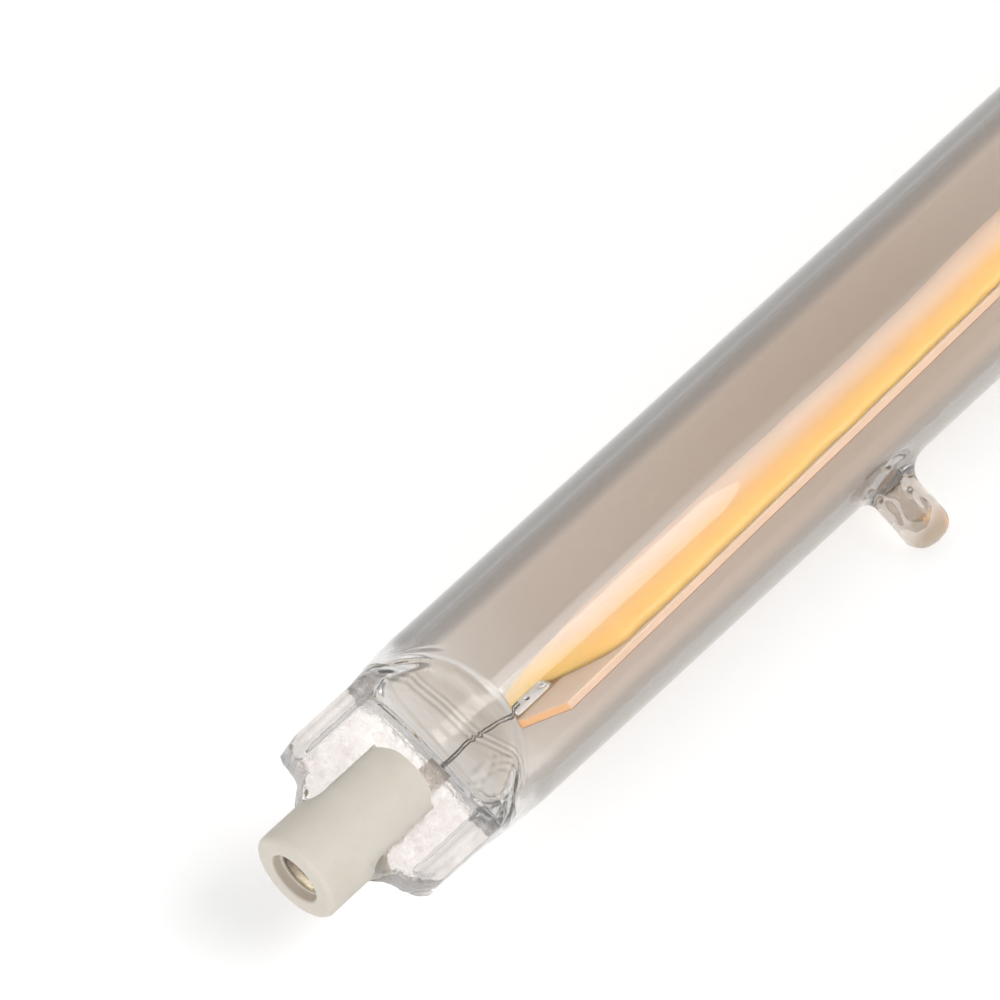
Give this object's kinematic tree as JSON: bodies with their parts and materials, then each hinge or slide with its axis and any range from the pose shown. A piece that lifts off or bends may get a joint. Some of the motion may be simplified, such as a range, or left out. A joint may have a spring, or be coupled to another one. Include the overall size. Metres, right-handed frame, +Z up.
{
  "type": "linear led bulb",
  "caption": "Slim clear glass tube lamp with a flat pinch and a slotted ceramic cap at each end, a sealed side tip, and a lit strip under yellow gel hung between lead wires.",
  "frame": {"origin": "the middle of the lamp's axis, half way between its two contacts", "axes": "+X along the lamp's axis, from the near cap to the far cap; +Z up as the lamp lies on its tube and its side tip, which points to -Y and down"},
  "size_m": [0.1176, 0.019, 0.015],
  "materials": {
    "clear_glass": "gloss",
    "ceramic": "satin",
    "contact_metal": "polished",
    "cement": "matte",
    "lead_wire": "satin",
    "foil": "satin",
    "strip_ceramic": "satin",
    "track_metal": "satin",
    "terminal_metal": "satin",
    "solder": "gloss",
    "chip": "gloss",
    "phosphor": "satin",
    "moulded_black": "matte",
    "resistor_body": "satin"
  },
  "bodies": {
    "root": {"driver_chip": "moulded_black", "far_cap_cement": "cement", "far_ceramic_cap": "ceramic", "far_contact": "contact_metal", "far_inner_lead": "lead_wire", "far_outer_lead": "lead_wire", "far_sealing_foil": "foil", "far_solder": "solder", "far_terminal": "terminal_metal", "far_track": "track_metal", "glass_envelope": "clear_glass", "led_chips": "chip", "limit_resistor": "resistor_body", "near_cap_cement": "cement", "near_ceramic_cap": "ceramic", "near_contact": "contact_metal", "near_inner_lead": "lead_wire", "near_outer_lead": "lead_wire", "near_sealing_foil": "foil", "near_solder": "solder", "near_terminal": "terminal_metal", "near_track": "track_metal", "phosphor_gel": "phosphor", "rectifier": "moulded_black", "strip_board": "strip_ceramic"}
  },
  "joints": []
}
